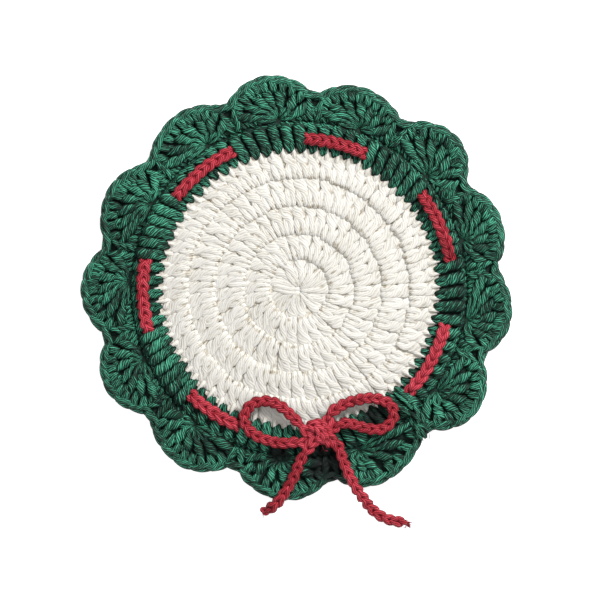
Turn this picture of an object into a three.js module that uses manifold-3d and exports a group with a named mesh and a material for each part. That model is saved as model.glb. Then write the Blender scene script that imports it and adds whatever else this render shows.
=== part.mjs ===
// A round crochet trivet: a cream centre of five rounds, a green border of shells worked onto it, and a red
// crochet lace threaded in and out of the border and tied in a bow.
// Millimetres, +Z up. The origin is the middle of the cream centre, on the surface that the trivet lies on.
// Angles are degrees, anticlockwise from +X; the bow is near 277 degrees, towards -Y.
import * as THREE from "three";
import { mergeVertices } from "three/addons/utils/BufferGeometryUtils.js";
import Module from "manifold-3d";

const wasm = await Module();
wasm.setup();

// Driving dimensions
const CLEARANCE = 0.3; // between neighbouring pieces
const CROWN = 4.6; // the fabric's thickness at the crown of a stitch
const STITCH_RELIEF = 0.5; // how far a stitch stands above the dip beside it
const LEAN = 0.25; // how far a stitch leans over its own height, in stitches
// The toothed line where the green legs enter the cream edge
const JOIN = { inner: 67.7, outer: 71.0, creamTop: 3.9, greenTop: 4.3, dip: 0.4 };
const JOIN_SHIFT = 1.8 * CLEARANCE; // along the radius, so that the teeth's slanted sides keep the clearance
const POST_RADII = [73.5, 80.5]; // where the posts of the plain green round are at full height
const BORDER_STITCHES = 78;
const SHELL_BASE = 84.0; // radius of the top of the plain green round, where the shells start
const SHELL_STITCHES = 7;
const LACE = { width: 6.8, thickness: 2.8, over: 5.6, under: 2.0 }; // heights of its middle line
const DIVE = 3.6; // degrees on either side of where the lace goes under
const DIVE_EASE = 0.35; // how much less it moves there, so that its curve stays level beyond
const UNDER_RADIUS = 75.6; // the lace's radius under the posts
const LACE_LIFT = 0.6; // how far the posts rise over it
const CORD = { width: 6.2, thickness: 3.4 }; // the same chain where it is free in the bow

// The rounds of the cream centre
const ROUNDS = [
  { outer: 14.0, stitches: 13 },
  { outer: 27.5, stitches: 26 },
  { outer: 41.0, stitches: 39 },
  { outer: 55.0, stitches: 52 },
  { outer: 66.4, stitches: 65 },
];

// A round of the centre from its start (0) to its end (1): height on a rib, and how deep the dip beside it is
const ROUND_PROFILE = [
  { part: 0, height: 3.5, dip: 0.2 },
  { part: 0.25, height: CROWN - 0.1, dip: STITCH_RELIEF },
  { part: 0.8, height: CROWN, dip: STITCH_RELIEF },
];
// The small raised ring in the middle, where all the stitches of the first round start
const MIDDLE = { stitches: 13, radius: 3.0, foot: 4.6, height: CROWN + 0.2, eye: CROWN - 0.6 };

// Each shell's crest, how far it reaches, and the notch that follows it
const SHELLS = [
  { crest: 19, reach: 107.8, notch: 32, notchReach: 98.8 },
  { crest: 44, reach: 110.5, notch: 58, notchReach: 98.8 },
  { crest: 72, reach: 106.5, notch: 85, notchReach: 98.0 },
  { crest: 99.5, reach: 108.5, notch: 112, notchReach: 99.0 },
  { crest: 125, reach: 107.2, notch: 140, notchReach: 98.8 },
  { crest: 152.5, reach: 108.2, notch: 167.5, notchReach: 99.8 },
  { crest: 180, reach: 109.5, notch: 194, notchReach: 99.5 },
  { crest: 207, reach: 109.2, notch: 220, notchReach: 98.4 },
  { crest: 235, reach: 107.0, notch: 249.5, notchReach: 94.4 },
  { crest: 266, reach: 106.3, notch: 280, notchReach: 96.0 },
  { crest: 293, reach: 106.0, notch: 312, notchReach: 95.0 },
  { crest: 326, reach: 108.8, notch: 340, notchReach: 98.0 },
  { crest: 352, reach: 107.8, notch: 366, notchReach: 100.2 },
];
// A shell from its base (0) to its outline (1): heights on a rib, between two ribs and at the notch
const SHELL_PROFILE = [
  { part: 0, rib: 3.9, dip: 3.6, notch: 4.0 },
  { part: 0.2, rib: CROWN + 0.1, dip: CROWN - 0.4, notch: 4.0 },
  { part: 0.5, rib: CROWN + 0.6, dip: CROWN, notch: 4.1 },
  { part: 0.72, rib: CROWN + 0.4, dip: CROWN - 0.2, notch: 4.1 },
  { part: 0.8, rib: 4.0, dip: 3.8, notch: 3.9 },
  { part: 0.9, rib: CROWN + 0.3, dip: CROWN + 0.1, notch: CROWN },
  { part: 1, rib: 2.4, dip: 2.4, notch: 2.4 },
  { part: 0.94, rib: 0, dip: 0, notch: 0 },
];
const SHELL_SPREAD = { base: 0.4, top: 0.93 }; // the share of a shell's width that its ribs fan over
const SCALLOP = 2.0; // how round a shell's outline is: 2 is a parabola, more is blunter

// Where the lace shows above the border, and its radius at the two ends
const OVER_STITCHES = [
  { from: 317.1, to: 345.9, radiusFrom: 75.2, radiusTo: 75.2 },
  { from: 371.3, to: 397.7, radiusFrom: 77.0, radiusTo: 77.4 },
  { from: 424.2, to: 447.3, radiusFrom: 75.2, radiusTo: 75.2 },
  { from: 475.4, to: 503.1, radiusFrom: 76.4, radiusTo: 76.6 },
  { from: 529.0, to: 555.5, radiusFrom: 78.0, radiusTo: 78.0 },
  { from: 584.2, to: 606.5, radiusFrom: 75.4, radiusTo: 74.6 },
];
// Where the lace's two ends come up into the border, under the knot
const LACE_ENDS = { from: 281.6, to: 632.2, height: 3.6 };

// The knot is a lump with a lobe towards each strand that leaves it
const KNOT = { x: 11.0, y: -72.2, z: 8.3, reach: 4.7, height: 7.2, focus: 9 };
const KNOT_LOBES = [
  { towards: 157, reach: 9.7 },
  { towards: 199, reach: 10.8 },
  { towards: 70, reach: 9.4 },
  { towards: 31, reach: 9.3 },
  { towards: 228, reach: 7.6 },
  { towards: 338, reach: 6.4 },
];

// The middle lines of the bow's loops and of the lace's free ends, [x, y, z]
const BOW_LOOP_LEFT = [
  [1.4, -68.4, 9.2],
  [-4.2, -62.4, 8.9],
  [-9.4, -58.2, 8.4],
  [-14.6, -56.0, 8.0],
  [-20.4, -56.1, 7.8],
  [-25.2, -59.0, 7.8],
  [-27.3, -64.0, 7.9],
  [-25.6, -69.4, 7.9],
  [-20.6, -73.4, 7.8],
  [-13.6, -75.9, 7.8],
  [-6.6, -76.8, 8.1],
  [0.4, -76.0, 8.6],
];
const BOW_LOOP_RIGHT = [
  [14.4, -62.6, 9.2],
  [19.4, -59.0, 9.0],
  [26.2, -56.0, 8.4],
  [34.6, -54.4, 8.0],
  [42.6, -55.6, 7.8],
  [46.9, -60.0, 7.7],
  [46.6, -65.6, 7.7],
  [41.2, -69.8, 7.7],
  [33.4, -69.2, 7.8],
  [25.4, -67.0, 8.2],
  [19.6, -67.0, 8.6],
];
const LACE_TAIL_LEFT = [
  [3.2, -81.0, 7.6],
  [0.4, -86.4, 7.4],
  [-1.8, -92.0, 7.4],
  [-4.6, -97.4, 7.4],
  [-8.0, -102.8, 7.3],
  [-11.8, -107.6, 6.2],
  [-16.2, -110.6, 3.4],
];
const LACE_TAIL_RIGHT = [
  [17.8, -75.0, 8.0],
  [20.2, -79.4, 7.7],
  [22.0, -85.0, 7.5],
  [24.6, -91.6, 7.4],
  [28.2, -98.4, 7.3],
  [32.4, -104.8, 5.2],
  [37.4, -110.8, 2.6],
  [44.0, -114.9, 2.0],
  [53.0, -116.8, 2.0],
];

const radians = THREE.MathUtils.degToRad;
const lerp = THREE.MathUtils.lerp;
const UP = new THREE.Vector3(0, 0, 1);

function polar(radius, degrees, height) {
  return new THREE.Vector3(
    radius * Math.cos(radians(degrees)),
    radius * Math.sin(radians(degrees)),
    height,
  );
}

// A ring of points: angleAt, radiusAt and heightAt take the point's number.
function ring(count, angleAt, radiusAt, heightAt) {
  return Array.from({ length: count }, (_, i) => ({
    angle: angleAt(i),
    point: polar(radiusAt(i), angleAt(i), heightAt(i)),
  }));
}

// Triangles between two rings that may have different numbers of points, both in order of angle.
// They face up where the second ring is the outer one.
function zip(first, second, triangles) {
  let i = 0;
  let j = 0;
  while (i < first.length || j < second.length) {
    const a = first[i % first.length];
    const b = second[j % second.length];
    const nextA = first[(i + 1) % first.length];
    const nextB = second[(j + 1) % second.length];
    const angleA = nextA.angle + (i + 1 >= first.length ? 360 : 0);
    const angleB = nextB.angle + (j + 1 >= second.length ? 360 : 0);
    if (j >= second.length || (i < first.length && angleA <= angleB)) {
      triangles.push(a.point, b.point, nextA.point);
      i += 1;
    } else {
      triangles.push(a.point, b.point, nextB.point);
      j += 1;
    }
  }
}

// A cap between a ring and a point on the axis; up says which way it faces.
function cap(edge, centre, up, triangles) {
  edge.forEach((a, i) => {
    const b = edge[(i + 1) % edge.length];
    triangles.push(centre, ...(up ? [a.point, b.point] : [b.point, a.point]));
  });
}

function geometryOf(triangles) {
  return new THREE.BufferGeometry().setFromPoints(triangles);
}

// manifold-3d joins and cuts: a geometry becomes a solid and a solid a geometry.
function solidOf(geometry) {
  const bare = geometry.clone();
  bare.deleteAttribute("normal");
  bare.deleteAttribute("uv");
  const merged = mergeVertices(bare, 1e-3);
  return new wasm.Manifold(
    new wasm.Mesh({
      numProp: 3,
      vertProperties: merged.attributes.position.array,
      triVerts: new Uint32Array(merged.index.array),
    }),
  );
}

function geometryFrom(solid) {
  const mesh = solid.getMesh();
  const geometry = new THREE.BufferGeometry();
  geometry.setAttribute("position", new THREE.BufferAttribute(mesh.vertProperties, 3));
  geometry.setIndex(new THREE.BufferAttribute(mesh.triVerts, 1));
  return geometry;
}

// The centre disc: every round is a ring of ribs, one for each stitch, with a groove to the next round.
function centreDisc() {
  const { stitches: starts, radius, height: top } = MIDDLE;
  const middle = ring(starts, (i) => (i * 360) / starts, () => radius, () => top);
  const rings = [middle];
  let inner = MIDDLE.foot;
  ROUNDS.forEach(({ outer, stitches }) => {
    const count = 2 * stitches;
    ROUND_PROFILE.forEach(({ part, height, dip }) => {
      const angleAt = (i) => ((i + 2 * LEAN * part) * 360) / count;
      rings.push(ring(count, angleAt, () => lerp(inner, outer, part), (i) => height - (i % 2) * dip));
    });
    inner = outer;
  });
  rings.push(joinRing(0, JOIN.creamTop, JOIN.dip));
  const bottom = joinRing(0, 0, 0);
  const triangles = [];
  cap(middle, new THREE.Vector3(0, 0, MIDDLE.eye), true, triangles);
  rings.slice(1).forEach((outer, n) => zip(rings[n], outer, triangles));
  zip(rings.at(-1), bottom, triangles);
  cap(bottom, new THREE.Vector3(0, 0, 0), false, triangles);
  return geometryOf(triangles);
}

// The toothed line between cream and green, moved outwards by a shift.
function joinRing(shift, height, drop) {
  const count = 2 * BORDER_STITCHES;
  return ring(
    count,
    (i) => (i * 360) / count,
    (i) => (i % 2 ? JOIN.outer : JOIN.inner) + shift,
    (i) => height - (i % 2) * drop,
  );
}

// The border's outline, and the points round one ring of the shells.
const shells = SHELLS.map((shell, n) => {
  const before = n ? SHELLS[n - 1] : { ...SHELLS.at(-1), notch: SHELLS.at(-1).notch - 360 };
  return { ...shell, start: before.notch, startReach: before.notchReach };
});

function outline(shell, angle) {
  const rising = angle < shell.crest;
  const end = rising ? shell.start : shell.notch;
  const notchReach = rising ? shell.startReach : shell.notchReach;
  const share = Math.abs(angle - shell.crest) / Math.abs(end - shell.crest);
  return lerp(shell.reach, notchReach, Math.min(1, share) ** SCALLOP);
}

function shellRing({ part, rib, dip, notch }) {
  const spread = lerp(SHELL_SPREAD.base, SHELL_SPREAD.top, part ** 0.8);
  return shells.flatMap((shell) => {
    const points = Array.from({ length: 2 * SHELL_STITCHES + 1 }, (_, i) => {
      const across = (i / SHELL_STITCHES - 1) * spread;
      const reach = across < 0 ? shell.crest - shell.start : shell.notch - shell.crest;
      return { angle: shell.crest + across * reach, height: i % 2 ? rib : dip };
    });
    points.unshift({ angle: shell.start, height: notch });
    return points.map(({ angle, height }) => {
      const radius = lerp(SHELL_BASE, outline(shell, angle), part);
      return { angle, point: polar(radius, angle, height) };
    });
  });
}

// The posts of the plain round, one rib each; they lift where the lace runs beneath them.
function postRing(radius, top) {
  const count = 2 * BORDER_STITCHES;
  return ring(
    count,
    (i) => (i * 360) / count,
    () => radius,
    (i) => top + LACE_LIFT * coversLace((i * 360) / count) - (i % 2) * STITCH_RELIEF,
  );
}

// 1 where the lace is under the posts and 0 where it lies on them, with a soft step between.
function coversLace(degrees) {
  const turn = degrees < LACE_ENDS.from ? degrees + 360 : degrees;
  const shown = OVER_STITCHES.map(({ from, to }) => Math.max(from - turn, turn - to));
  const ends = [turn - LACE_ENDS.from, LACE_ENDS.to - turn];
  return THREE.MathUtils.smoothstep(Math.min(...shown, ...ends), 0, 2 * DIVE);
}

function shellBorder() {
  const rings = [
    joinRing(JOIN_SHIFT, 0, 0),
    joinRing(JOIN_SHIFT, JOIN.greenTop, JOIN.dip),
    ...POST_RADII.map((radius) => postRing(radius, CROWN)),
    ...SHELL_PROFILE.map(shellRing),
  ];
  const triangles = [];
  rings.forEach((outer, n) => zip(rings.at(n - 1), outer, triangles));
  return geometryOf(triangles);
}

// A route whose flat side stays level: one axis of its frames points up all along.
class LevelRoute extends THREE.CatmullRomCurve3 {
  computeFrenetFrames(segments) {
    const tangents = Array.from({ length: segments + 1 }, (_, i) => this.getTangentAt(i / segments));
    const normals = tangents.map((t) => UP.clone().addScaledVector(t, -UP.dot(t)).normalize());
    const binormals = tangents.map((t, i) => new THREE.Vector3().crossVectors(t, normals[i]));
    return { tangents, normals, binormals };
  }
}

// A chain along a route: an eight-sided flat section, upright axis first.
function chain(route, steps, { width, thickness }, clearance = 0) {
  const corners = Array.from({ length: 8 }, (_, i) => {
    const angle = radians(22.5 + 45 * i);
    const reach = 1 / Math.cos(radians(22.5));
    const x = (thickness / 2 + clearance) * reach * Math.cos(angle);
    const y = (width / 2 + clearance) * reach * Math.sin(angle);
    return new THREE.Vector2(x, y);
  });
  return new THREE.ExtrudeGeometry(new THREE.Shape(corners), { steps, extrudePath: route });
}

function routeThrough(points) {
  return new LevelRoute(points.map((p) => new THREE.Vector3(...p)));
}

// The threaded lace: up under the knot, then over and under the posts all the way round.
function laceRoute() {
  const { from, to, height } = LACE_ENDS;
  const points = [polar(UNDER_RADIUS, from, height)];
  let last = from;
  OVER_STITCHES.forEach((stitch) => {
    points.push(
      polar(UNDER_RADIUS, (last + stitch.from) / 2, LACE.under),
      polar(UNDER_RADIUS, stitch.from - DIVE, LACE.under + DIVE_EASE),
      polar(stitch.radiusFrom, stitch.from + DIVE, LACE.over - DIVE_EASE),
      polar((stitch.radiusFrom + stitch.radiusTo) / 2, (stitch.from + stitch.to) / 2, LACE.over),
      polar(stitch.radiusTo, stitch.to - DIVE, LACE.over - DIVE_EASE),
      polar(UNDER_RADIUS, stitch.to + DIVE, LACE.under + DIVE_EASE),
    );
    last = stitch.to;
  });
  points.push(polar(UNDER_RADIUS, (last + to) / 2, LACE.under), polar(UNDER_RADIUS, to, height));
  return new LevelRoute(points);
}

// The clearance in front of the lace's blunt end.
function lacePocket(degrees) {
  const size = [LACE.width + 2 * CLEARANCE, 8 * CLEARANCE, LACE.thickness + 2 * CLEARANCE];
  const pocket = new THREE.BoxGeometry(...size).rotateZ(radians(degrees));
  return solidOf(pocket.translate(...polar(UNDER_RADIUS, degrees, LACE_ENDS.height)));
}

// The knot: a sphere pulled out towards its lobes and flattened.
function bowKnot() {
  const geometry = new THREE.SphereGeometry(1, 24, 14).rotateX(Math.PI / 2);
  const place = geometry.attributes.position;
  const point = new THREE.Vector3();
  for (let i = 0; i < place.count; i += 1) {
    point.fromBufferAttribute(place, i);
    const lobes = KNOT_LOBES.map(({ towards, reach }) => {
      const along = point.dot(polar(1, towards, 0));
      return (reach - KNOT.reach) * Math.exp(KNOT.focus * (along - 1));
    });
    const reach = KNOT.reach + Math.max(...lobes);
    place.setXYZ(i, reach * point.x, reach * point.y, (KNOT.height / 2) * point.z);
  }
  return geometry.translate(KNOT.x, KNOT.y, KNOT.z);
}

const CREAM_COTTON = { color: "#ece9df", roughness: 0.95, metalness: 0 };
const GREEN_COTTON = { color: "#0f5a43", roughness: 0.85, metalness: 0 };
const RED_COTTON = { color: "#b8202f", roughness: 0.85, metalness: 0 };

const trivet = new THREE.Group();

function place(name, geometry, look) {
  const mesh = new THREE.Mesh(geometry, new THREE.MeshStandardMaterial(look));
  mesh.name = name;
  trivet.add(mesh);
}

const lace = laceRoute();
const LACE_STEPS = 84;
const tunnel = solidOf(chain(lace, LACE_STEPS, LACE, CLEARANCE));
const pockets = [LACE_ENDS.from, LACE_ENDS.to].map(lacePocket);
const borderSolid = [tunnel, ...pockets].reduce((rest, hole) => rest.subtract(hole), solidOf(shellBorder()));

place("centre_disc", centreDisc(), CREAM_COTTON);
place("shell_border", geometryFrom(borderSolid), GREEN_COTTON);
place("threaded_lace", chain(lace, LACE_STEPS, LACE), RED_COTTON);
place("bow_knot", bowKnot(), RED_COTTON);
place("bow_loop_left", chain(routeThrough(BOW_LOOP_LEFT), 24, CORD), RED_COTTON);
place("bow_loop_right", chain(routeThrough(BOW_LOOP_RIGHT), 24, CORD), RED_COTTON);
place("lace_tail_left", chain(routeThrough(LACE_TAIL_LEFT), 10, CORD), RED_COTTON);
place("lace_tail_right", chain(routeThrough(LACE_TAIL_RIGHT), 14, CORD), RED_COTTON);

export default trivet;
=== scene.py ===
# %% [markdown]
# # A crochet trivet, strand by strand
# The real object is a flat round mat of cotton yarn: a cream centre of five rounds of double crochet, a
# green border of one plain round, thirteen shells and a narrow edging, and a red crochet chain that is
# threaded through the border and tied in a bow. A flat disc with a picture of stitches would look dead from
# the side, and a bump map can't give the dark gaps between them. So every strand that shows is laid as a
# thin tube, and the material draws its plies and paints shade where a strand sinks between its neighbours.
#
# Lengths below are millimetres, unless a comment says metres, and become metres when a mesh is made.

# %% Load the imported model
import math
from functools import partial

import bpy
import numpy as np
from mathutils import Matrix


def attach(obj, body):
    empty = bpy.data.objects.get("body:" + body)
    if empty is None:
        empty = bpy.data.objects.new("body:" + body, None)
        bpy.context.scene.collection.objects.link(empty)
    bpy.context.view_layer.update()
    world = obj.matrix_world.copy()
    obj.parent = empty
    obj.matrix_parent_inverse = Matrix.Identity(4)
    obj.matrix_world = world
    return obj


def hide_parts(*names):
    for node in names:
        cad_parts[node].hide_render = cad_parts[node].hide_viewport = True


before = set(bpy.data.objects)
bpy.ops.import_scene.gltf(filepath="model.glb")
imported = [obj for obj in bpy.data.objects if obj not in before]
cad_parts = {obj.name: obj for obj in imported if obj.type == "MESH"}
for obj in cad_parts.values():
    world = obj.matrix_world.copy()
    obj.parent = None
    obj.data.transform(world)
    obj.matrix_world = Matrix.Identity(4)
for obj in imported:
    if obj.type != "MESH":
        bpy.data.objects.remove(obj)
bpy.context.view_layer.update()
bpy.ops.object.select_all(action="DESELECT")

# %% [markdown]
# ## Camera
# The photograph looks straight down at the trivet. Half a millimetre of the trivet fills one pixel, so the
# 600 pixels of the picture show 300 mm. A long lens from 1.5 m away keeps the thick edge from leaning
# outwards.

# %% The camera straight above
def in_scene(name, data):
    """A new object of this name in the scene."""
    made = bpy.data.objects.new(name, data)
    bpy.context.scene.collection.objects.link(made)
    return made


PICTURE_WIDTH = 300.0
PICTURE_MIDDLE = (0.55, -5.4)
STITCH_TOPS = 4.0
CAMERA_AWAY = 1500.0
SENSOR_WIDTH = 36.0
camera_data = bpy.data.cameras.new("camera_above")
camera_data.sensor_width = SENSOR_WIDTH
camera_data.lens = SENSOR_WIDTH * CAMERA_AWAY / PICTURE_WIDTH
camera = in_scene("camera_above", camera_data)
camera.location = [v / 1000 for v in (*PICTURE_MIDDLE, STITCH_TOPS + CAMERA_AWAY)]
bpy.context.scene.camera = camera
print("camera lens, mm:", camera_data.lens)

# %% [markdown]
# ## A strand of yarn
# A strand is a tube that follows a line. The line comes from a few points, a smooth curve through them, and
# then points at even steps. Around the line go rings of up to eight corners. Each ring is turned as little
# as possible against the one before it, so that the tube doesn't twist by itself. Every piece below is many
# such strands in one mesh. Blender's own bevelled curve could do this too, but it can't give each strand
# its own yarn coordinates: how far along, in millimetres, and how far around, from 0 to 1. The yarn
# material needs both.

# %% A smooth line
STEPS_BETWEEN = 8


def curve_through(points, step):
    """Points about step apart on a smooth curve through the given ones."""
    p = np.array(points, float)
    ends = np.vstack([2 * p[0] - p[1], p, 2 * p[-1] - p[-2]])
    t = np.linspace(0, 1, STEPS_BETWEEN + 1)[:-1, None]
    parts = [
        0.5 * (2 * b + (c - a) * t + (2 * a - 5 * b + 4 * c - d) * t**2 + (3 * b - a - 3 * c + d) * t**3)
        for a, b, c, d in zip(ends[:-3], ends[1:-2], ends[2:-1], ends[3:])
    ]
    return even_steps(np.vstack([*parts, p[-1:]]), step)


def distances_along(line):
    """How far along the line each of its points is."""
    return np.concatenate([[0], np.cumsum(np.linalg.norm(np.diff(line, axis=0), axis=1))])


def even_steps(line, step):
    """The same line with its points at even steps."""
    far = distances_along(line)
    at = np.linspace(0, far[-1], max(3, round(far[-1] / step) + 1))
    return np.stack([np.interp(at, far, line[:, k]) for k in range(3)], axis=1)


quarter_turn = [(10, 0, 0), (7.07, 7.07, 0), (0, 10, 0)]
print("points 1 mm apart on a quarter turn of 10 mm:", len(curve_through(quarter_turn, 1.0)))


# %% Values along a line, and directions across it
def eased(t, stops, values):
    """A smooth value at t that passes through the given values at the given stops."""
    stops, values = np.array(stops, float), np.array(values, float)
    i = np.clip(np.searchsorted(stops, t, side="right") - 1, 0, len(stops) - 2)
    f = np.clip((t - stops[i]) / (stops[i + 1] - stops[i]), 0, 1)
    f = f * f * (3 - 2 * f)
    return values[i] * (1 - f) + values[i + 1] * f


def ring_frames(line):
    """Two directions across the line at each of its points, which turn as little as they can on the way."""
    ahead = np.gradient(line, axis=0)
    ahead /= np.maximum(np.linalg.norm(ahead, axis=1), 1e-9)[:, None]
    first = np.cross(ahead[0], (0, 0, 1.0) if abs(ahead[0][2]) < 0.9 else (1.0, 0, 0))
    across = [first / np.linalg.norm(first)]
    for d in ahead[1:]:
        n = across[-1] - d * (across[-1] @ d)
        across.append(n / max(np.linalg.norm(n), 1e-9))
    across = np.array(across)
    return across, np.cross(ahead, across)


print("a quarter of the way from 0 to 1, eased:", eased(np.array([0.25]), [0, 1], [0, 1]))

# %% A tube for each strand, and one mesh for each piece
SIDES = 8
ABOVE_TABLE = 0.1
# A strand's yarn coordinate starts somewhere on so long a stretch, so that no two strands look the same
YARN_STRETCH = 400
dice = np.random.default_rng(26)


class Skein:
    """Gathers the strands of one piece, and makes them one mesh."""

    def __init__(self):
        self.points, self.faces, self.uvs = [], [], []
        self.tints, self.rises = [], []
        self.count = 0

    def lay(self, line, radius, sides=SIDES, tint=None, flat=1.0, shade=1.0, low=0.0):
        """One strand, a tube along the line. The radius is one number or one for each point. flat presses
        it, shade is how much painted shade the material may put on its sides, and low how much on all of
        it."""
        line = np.array(line, float)
        n = len(line)
        radius = np.broadcast_to(np.array(radius, float), (n,))
        across, up = ring_frames(line)
        turn = np.arange(sides) / sides * 2 * math.pi
        rings = line[:, None] + radius[:, None, None] * (
            np.cos(turn)[None, :, None] * across[:, None] + np.sin(turn)[None, :, None] * up[:, None]
        )
        rings[..., 2] = line[:, 2:] + (rings[..., 2] - line[:, 2:]) * flat
        rings[..., 2] = np.maximum(rings[..., 2], ABOVE_TABLE)
        rise = (rings[..., 2] - line[:, 2:]) / (radius[:, None] * flat)
        # The rise that the material reads, with the painted shade that shade and low ask for
        self.rises.append((1 - (1 - rise) * shade - np.broadcast_to(low, n)[:, None]).reshape(-1))
        # Faces of four corners between the rings, and a lid at each end
        i, j = np.meshgrid(np.arange(n - 1), np.arange(sides), indexing="ij")
        k = (j + 1) % sides
        base = self.count
        quads = np.stack([i * sides + j, i * sides + k, (i + 1) * sides + k, (i + 1) * sides + j], axis=-1)
        self.faces += (quads.reshape(-1, 4) + base).tolist()
        self.faces += [list(range(base + sides - 1, base - 1, -1))]
        self.faces += [list(range(base + (n - 1) * sides, base + n * sides))]
        far = distances_along(line) + dice.uniform(0, YARN_STRETCH)
        a, b = far[i], far[i + 1]
        quad_uv = np.stack([a, j / sides, a, (j + 1) / sides, b, (j + 1) / sides, b, j / sides], axis=-1)
        self.uvs += [quad_uv.reshape(-1), np.tile([far[0], 0.5], sides), np.tile([far[-1], 0.5], sides)]
        self.points.append(rings.reshape(-1, 3))
        self.tints.append(np.full(n * sides, dice.random() if tint is None else tint))
        self.count += n * sides

    def piece(self, name, material, node):
        """The object, at the origin with its place in its mesh, in metres. It stands for a node of the CAD
        model."""
        mesh = bpy.data.meshes.new(name)
        mesh.from_pydata((np.vstack(self.points) / 1000).tolist(), [], self.faces)
        mesh.uv_layers.new(name="yarn").data.foreach_set("uv", np.concatenate(self.uvs).astype(np.float32))
        for attribute, values in (("tint", self.tints), ("rise", self.rises)):
            data = mesh.attributes.new(attribute, "FLOAT", "POINT").data
            data.foreach_set("value", np.concatenate(values).astype(np.float32))
        mesh.polygons.foreach_set("use_smooth", np.ones(len(mesh.polygons), bool))
        mesh.materials.append(material)
        mesh.update()
        made = in_scene(name, mesh)
        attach(made, "root")
        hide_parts(node)
        print(name, "-", len(self.points), "strands,", sum(len(f) - 2 for f in self.faces), "triangles")
        return made


print("a strand has", SIDES, "sides")

# %% [markdown]
# ## Cotton yarn
# The yarn is mercerised cotton, spun from thin plies that twist lightly round each other. What the eye sees
# is not the fibre but the plies: fine lengthwise lines, bright on their backs and dark in the grooves
# between them. Real plies lie about half a millimetre apart. These lie 1 to 2 mm apart, coarse enough to
# show in the render. The material finds them from the yarn coordinates. Around the strand the groove
# repeats once for each ply, and a slow turn along the strand makes it a helix. The same number gives the
# bump and the colour, which paints shade in the grooves and a highlight on the backs, so that both agree. A
# noise that is stretched along the plies adds the fibres, which are coarser than real too.
#
# A strand is darkest where it sinks in between its neighbours, and that shade is painted. Each corner of a
# tube knows how high on the strand it lies (`rise`), and the material paints shade on the low ones, more in
# some flecks than in others.


# %% A material, a colour and a node
def new_material(name):
    """A material with no nodes yet, and the function that adds one to it."""
    material = bpy.data.materials.new(name)
    material.use_nodes = True
    material.node_tree.nodes.clear()
    return material, partial(add_node, material.node_tree)


def linear(hex_colour):
    """A screen colour such as #d42a40 as the linear colour that Blender wants."""
    channels = [int(hex_colour[i : i + 2], 16) / 255 for i in (1, 3, 5)]
    return [c / 12.92 if c <= 0.04045 else ((c + 0.055) / 1.055) ** 2.4 for c in channels] + [1.0]


def add_node(tree, kind, inputs=(), operation=None, output=0, stops=(), **settings):
    """Adds a node and gives one of its outputs. kind is Blender's name for it, such as ShaderNodeMath,
    without ShaderNode. Its inputs come by name or in order, and one that is another node's output becomes a
    link. operation is what a math node does, and stops are the places and colours of a colour ramp."""
    made = tree.nodes.new("ShaderNode" + kind)
    if operation:
        made.operation = operation
    for name, value in settings.items():
        setattr(made, name, value)
    for name, value in inputs.items() if isinstance(inputs, dict) else enumerate(inputs):
        if isinstance(value, bpy.types.NodeSocket):
            tree.links.new(value, made.inputs[name])
        else:
            made.inputs[name].default_value = value
    for _ in stops[2:]:
        made.color_ramp.elements.new(0.5)
    for number, (place, colour) in enumerate(stops):
        made.color_ramp.elements[number].position = place
        made.color_ramp.elements[number].color = linear(colour)
    return made.outputs[output] if made.outputs else None


print("middle grey in linear light:", linear("#808080"))

# %% The plies and the fibres
PLIES = 8
# The helix is ahead here and behind there, by up to 0.3 of a turn, in waves of about 8 mm
SLACK_TURNS, SLACK_PER_MM = 0.3, 0.13
# Tufts of fibre are 2.5 mm long, and sixteen go round a strand, on a circle of this radius in the noise
FIBRES_PER_MM, FIBRE_CIRCLE = 0.4, 2.6
# Far apart, so that strands of other tints have other plies and fibres
PLY_SEED, FIBRE_SEED = 91.0, 37.0


def plies_and_fibres(node, tint, lay_mm):
    """How high on its ply a place lies, the shade of that ply, and the fibres. One turn takes lay_mm."""
    along = node("SeparateXYZ", [node("UVMap", uv_map="yarn")])
    around = along.node.outputs["Y"]
    slack = node("Math", [along, SLACK_PER_MM], "MULTIPLY")
    slack = node("TexNoise", {"W": slack, "Scale": 1.0, "Detail": 1.0}, noise_dimensions="1D")
    slack = node("Math", [slack, SLACK_TURNS], "MULTIPLY")
    turned = node("Math", [along, 1 / lay_mm, around], "MULTIPLY_ADD")
    turned = node("Math", [turned, slack], "ADD")
    # The plies are half waves round the helix
    ply = node("Math", [turned, math.pi * PLIES], "MULTIPLY")
    for operation in ("SINE", "ABSOLUTE"):
        ply = node("Math", [ply], operation)
    which = node("Math", [turned, PLIES], "MULTIPLY")
    which = node("Math", [which], "FLOOR")
    which = node("Math", [which, PLIES], "FLOORED_MODULO")
    which = node("Math", [tint, PLY_SEED, which], "MULTIPLY_ADD")
    shade_of_ply = node("TexWhiteNoise", {"W": which}, noise_dimensions="1D")
    # The fibres are noise drawn out along the plies
    angle = node("Math", [turned, 2 * math.pi], "MULTIPLY")
    sine = node("Math", [angle], "SINE")
    cosine = node("Math", [angle], "COSINE")
    start = node("Math", [tint, FIBRE_SEED], "MULTIPLY")
    x = node("Math", [along, FIBRES_PER_MM], "MULTIPLY")
    y = node("Math", [sine, FIBRE_CIRCLE], "MULTIPLY")
    z = node("Math", [cosine, FIBRE_CIRCLE, start], "MULTIPLY_ADD")
    place = node("CombineXYZ", [x, y, z])
    settings = {"Vector": place, "Scale": 1.0, "Detail": 5.0, "Roughness": 0.72}
    return ply, shade_of_ply, node("TexNoise", settings)


print("plies round a strand 3 mm thick lie", round(math.pi * 3 / PLIES, 1), "mm apart")

# %% The yarn material
# Slow changes of tone over 17 mm, and the flecks of painted shade on the sides of a strand, 2.4 mm
PATCHES_PER_METRE, FLECKS_PER_METRE = 60.0, 420.0
# In metres: the height at which the painted shadow of other pieces is measured
PAINTED_SHADOW_HEIGHT = 0.003
DEEPEST_PAINTED_SHADOW = 0.6


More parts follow.
